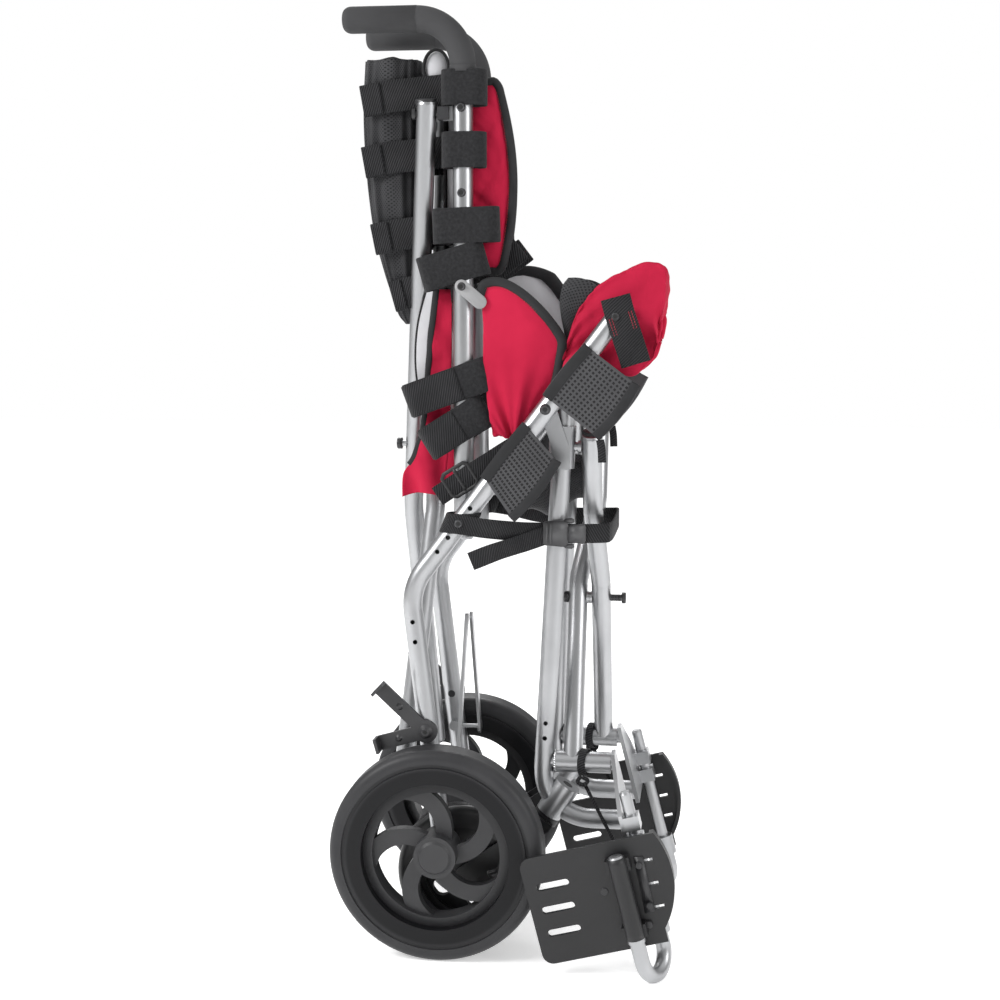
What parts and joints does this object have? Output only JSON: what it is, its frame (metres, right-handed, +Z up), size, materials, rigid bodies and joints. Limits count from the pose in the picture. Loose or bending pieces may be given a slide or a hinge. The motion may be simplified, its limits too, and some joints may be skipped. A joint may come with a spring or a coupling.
{
  "type": "special needs buggy",
  "caption": "Folding push buggy for a child with special needs, standing folded: cross-braced tube frame, push canes, red and black seat cloth, large rear wheels, casters and hinged footplates.",
  "frame": {"origin": "on the floor under the middle of the folded buggy", "axes": "+X front, +Y left side, +Z up"},
  "size_m": [0.4399, 0.4182, 1.203],
  "materials": {
    "satin_tube": "satin silver",
    "steel_plate": "brushed",
    "black_hardware": "satin black",
    "foam_grip": "closed-cell foam",
    "black_moulding": "fine texture",
    "tyre": "smooth",
    "red_cloth": "plain weave",
    "black_mesh": "perforated mesh",
    "grey_lining": "plain weave",
    "webbing": "ribbed",
    "buckle_plastic": "moulded"
  },
  "bodies": {
    "right_cane": {"right_cane_tube": "satin_tube", "right_grip": "foam_grip", "right_cane_bolts": "black_hardware", "right_wing": "red_cloth", "right_cane_straps": "webbing", "right_back_mesh": "black_mesh", "right_side_panel": "red_cloth", "back_panel": "grey_lining"},
    "right_rail": {"right_rail_tube": "satin_tube", "right_rail_bolts": "black_hardware", "right_rear_axle": "steel_plate", "right_rail_mesh": "black_mesh", "right_belt": "webbing", "seat_cloth": "red_cloth", "belt_buckle": "buckle_plastic"},
    "right_sleeve": {"right_leg_sleeve": "steel_plate"},
    "right_leg": {"right_leg_tube": "satin_tube", "right_gusset_plate": "steel_plate", "right_hanger_rod": "steel_plate"},
    "right_wheel": {"right_wheel_rim": "black_moulding", "right_wheel_tyre": "tyre"},
    "right_fork": {"right_caster_fork": "black_moulding"},
    "right_caster": {"right_caster_rim": "black_moulding", "right_caster_tyre": "tyre"},
    "right_brake": {"right_brake_pedal": "black_hardware"},
    "right_link": {"right_lock_link": "steel_plate"},
    "right_knuckle": {"right_brace_knuckle": "steel_plate"},
    "right_foot": {"right_foot_tube": "satin_tube"},
    "right_plate": {"right_footplate": "black_moulding"},
    "left_cane": {"left_cane_tube": "satin_tube", "left_grip": "foam_grip", "left_cane_bolts": "black_hardware", "left_wing": "red_cloth", "left_cane_straps": "webbing", "left_back_mesh": "black_mesh", "left_side_panel": "red_cloth"},
    "left_rail": {"left_rail_tube": "satin_tube", "left_rail_bolts": "black_hardware", "left_rear_axle": "steel_plate", "left_rail_mesh": "black_mesh", "left_belt": "webbing"},
    "left_sleeve": {"left_leg_sleeve": "steel_plate"},
    "left_leg": {"left_leg_tube": "satin_tube", "left_gusset_plate": "steel_plate", "left_hanger_rod": "steel_plate"},
    "left_wheel": {"left_wheel_rim": "black_moulding", "left_wheel_tyre": "tyre"},
    "left_fork": {"left_caster_fork": "black_moulding"},
    "left_caster": {"left_caster_rim": "black_moulding", "left_caster_tyre": "tyre"},
    "left_brake": {"left_brake_pedal": "black_hardware"},
    "left_link": {"left_lock_link": "steel_plate"},
    "left_knuckle": {"left_brace_knuckle": "steel_plate"},
    "left_foot": {"left_foot_tube": "satin_tube"},
    "left_plate": {"left_footplate": "black_moulding"},
    "brace_a": {"front_brace_a": "satin_tube"},
    "brace_b": {"front_brace_b": "satin_tube"},
    "rear_brace_a": {"rear_brace_a": "satin_tube"},
    "rear_brace_b": {"rear_brace_b": "satin_tube"}
  },
  "joints": [
    {"name": "width_unfold", "type": "slide", "parent": "right_cane", "child": "left_cane", "axis": [0, 1, 0], "range_m": [0, 0.2], "deforming": ["right_back_mesh", "left_back_mesh", "back_panel", "right_side_panel", "left_side_panel", "seat_cloth", "right_belt", "left_belt", "belt_buckle", "right_cane_straps", "left_cane_straps"]},
    {"name": "right_hip_turn", "type": "hinge", "parent": "right_cane", "child": "right_rail", "pos_m": [-0.05608, -0.1, 0.55732], "axis": [0, 1, 0], "range_deg": [0, 45]},
    {"name": "left_rail_spread", "type": "slide", "parent": "right_rail", "child": "left_rail", "axis": [0, 1, 0], "range_m": [0, 0.2]},
    {"name": "right_sleeve_turn", "type": "hinge", "parent": "right_rail", "child": "right_sleeve", "pos_m": [0.05285, -0.1, 0.70187], "axis": [0, 1, 0], "range_deg": [-65.2, 0]},
    {"name": "left_sleeve_turn", "type": "hinge", "parent": "left_rail", "child": "left_sleeve", "pos_m": [0.05285, 0.1, 0.70187], "axis": [0, 1, 0], "range_deg": [-65.2, 0]},
    {"name": "right_leg_slide", "type": "slide", "parent": "right_sleeve", "child": "right_leg", "axis": [0.0523, 0, 0.9986], "range_m": [0, 0.137]},
    {"name": "left_leg_spread", "type": "slide", "parent": "right_leg", "child": "left_leg", "axis": [0, 1, 0], "range_m": [0, 0.2]},
    {"name": "front_brace_a_turn", "type": "hinge", "parent": "right_leg", "child": "brace_a", "pos_m": [0.08835, -0.066, 0.24154], "axis": [1, 0, 0], "range_deg": [-32.54, 0]},
    {"name": "front_brace_b_turn", "type": "hinge", "parent": "left_leg", "child": "brace_b", "pos_m": [0.08835, 0.066, 0.24154], "axis": [1, 0, 0], "range_deg": [0, 32.54]},
    {"name": "right_knuckle_turn", "type": "hinge", "parent": "right_cane", "child": "right_knuckle", "pos_m": [-0.07708, -0.07, 1.06732], "axis": [0, 1, 0], "range_deg": [0, 13.6]},
    {"name": "left_knuckle_turn", "type": "hinge", "parent": "left_cane", "child": "left_knuckle", "pos_m": [-0.07708, 0.07, 1.06732], "axis": [0, 1, 0], "range_deg": [0, 13.6]},
    {"name": "rear_brace_a_turn", "type": "hinge", "parent": "right_knuckle", "child": "rear_brace_a", "pos_m": [-0.10108, -0.07, 1.06732], "axis": [1, 0, 0], "range_deg": [0, 14.1]},
    {"name": "rear_brace_b_turn", "type": "hinge", "parent": "left_knuckle", "child": "rear_brace_b", "pos_m": [-0.10108, 0.07, 1.06732], "axis": [1, 0, 0], "range_deg": [-14.1, 0]},
    {"name": "right_link_turn", "type": "hinge", "parent": "right_rail", "child": "right_link", "pos_m": [-0.09368, -0.0825, 0.24472], "axis": [1, 0, 0], "range_deg": [-52.11, 0]},
    {"name": "left_link_turn", "type": "hinge", "parent": "left_rail", "child": "left_link", "pos_m": [-0.09368, 0.0825, 0.24472], "axis": [1, 0, 0], "range_deg": [0, 52.11]},
    {"name": "right_wheel_turn", "type": "hinge", "parent": "right_rail", "child": "right_wheel", "pos_m": [-0.08071, -0.139, 0.1375], "axis": [0, 1, 0], "continuous": true},
    {"name": "right_caster_swivel", "type": "hinge", "parent": "right_leg", "child": "right_fork", "pos_m": [0.05364, -0.066, 0.17161], "axis": [0.5446, 0, 0.8387], "range_deg": [-12, 1]},
    {"name": "right_caster_turn", "type": "hinge", "parent": "right_fork", "child": "right_caster", "pos_m": [-0.05459, -0.066, 0.09], "axis": [0, 1, 0], "continuous": true},
    {"name": "right_brake_press", "type": "hinge", "parent": "right_rail", "child": "right_brake", "pos_m": [-0.09897, -0.1, 0.2884], "axis": [0, 1, 0], "range_deg": [-5, 10]},
    {"name": "right_foot_height", "type": "slide", "parent": "right_leg", "child": "right_foot", "axis": [-0.2504, 0, 0.9681], "range_m": [0, 0.015]},
    {"name": "right_plate_flip", "type": "hinge", "parent": "right_foot", "child": "right_plate", "pos_m": [0.18205, -0.198, 0.03639], "axis": [-0.2504, 0, 0.9681], "range_deg": [-6, 6]},
    {"name": "left_wheel_turn", "type": "hinge", "parent": "left_rail", "child": "left_wheel", "pos_m": [-0.08071, 0.139, 0.1375], "axis": [0, 1, 0], "continuous": true},
    {"name": "left_caster_swivel", "type": "hinge", "parent": "left_leg", "child": "left_fork", "pos_m": [0.05364, 0.066, 0.17161], "axis": [0.5446, 0, 0.8387], "range_deg": [-1, 12]},
    {"name": "left_caster_turn", "type": "hinge", "parent": "left_fork", "child": "left_caster", "pos_m": [-0.05459, 0.066, 0.09], "axis": [0, 1, 0], "continuous": true},
    {"name": "left_brake_press", "type": "hinge", "parent": "left_rail", "child": "left_brake", "pos_m": [-0.09897, 0.1, 0.2884], "axis": [0, 1, 0], "range_deg": [-5, 10]},
    {"name": "left_foot_height", "type": "slide", "parent": "left_leg", "child": "left_foot", "axis": [-0.2504, 0, 0.9681], "range_m": [0, 0.015]},
    {"name": "left_plate_flip", "type": "hinge", "parent": "left_foot", "child": "left_plate", "pos_m": [0.18205, 0.198, 0.03639], "axis": [-0.2504, 0, 0.9681], "range_deg": [-6, 6]}
  ],
  "couplings": [
    {"joint": "right_hip_turn", "follows": "width_unfold", "rad_per_m": 3.927},
    {"joint": "left_rail_spread", "follows": "width_unfold", "ratio": 1},
    {"joint": "right_sleeve_turn", "follows": "width_unfold", "rad_per_m": -5.6898},
    {"joint": "left_sleeve_turn", "follows": "width_unfold", "rad_per_m": -5.6898},
    {"joint": "right_leg_slide", "follows": "width_unfold", "ratio": 0.685},
    {"joint": "left_leg_spread", "follows": "width_unfold", "ratio": 1},
    {"joint": "front_brace_a_turn", "follows": "width_unfold", "rad_per_m": -2.8398},
    {"joint": "front_brace_b_turn", "follows": "width_unfold", "rad_per_m": 2.8398},
    {"joint": "right_knuckle_turn", "follows": "width_unfold", "rad_per_m": 1.1868},
    {"joint": "left_knuckle_turn", "follows": "width_unfold", "rad_per_m": 1.1868},
    {"joint": "rear_brace_a_turn", "follows": "width_unfold", "rad_per_m": 1.2301},
    {"joint": "rear_brace_b_turn", "follows": "width_unfold", "rad_per_m": -1.2301},
    {"joint": "right_link_turn", "follows": "width_unfold", "rad_per_m": -4.5472},
    {"joint": "left_link_turn", "follows": "width_unfold", "rad_per_m": 4.5472}
  ]
}
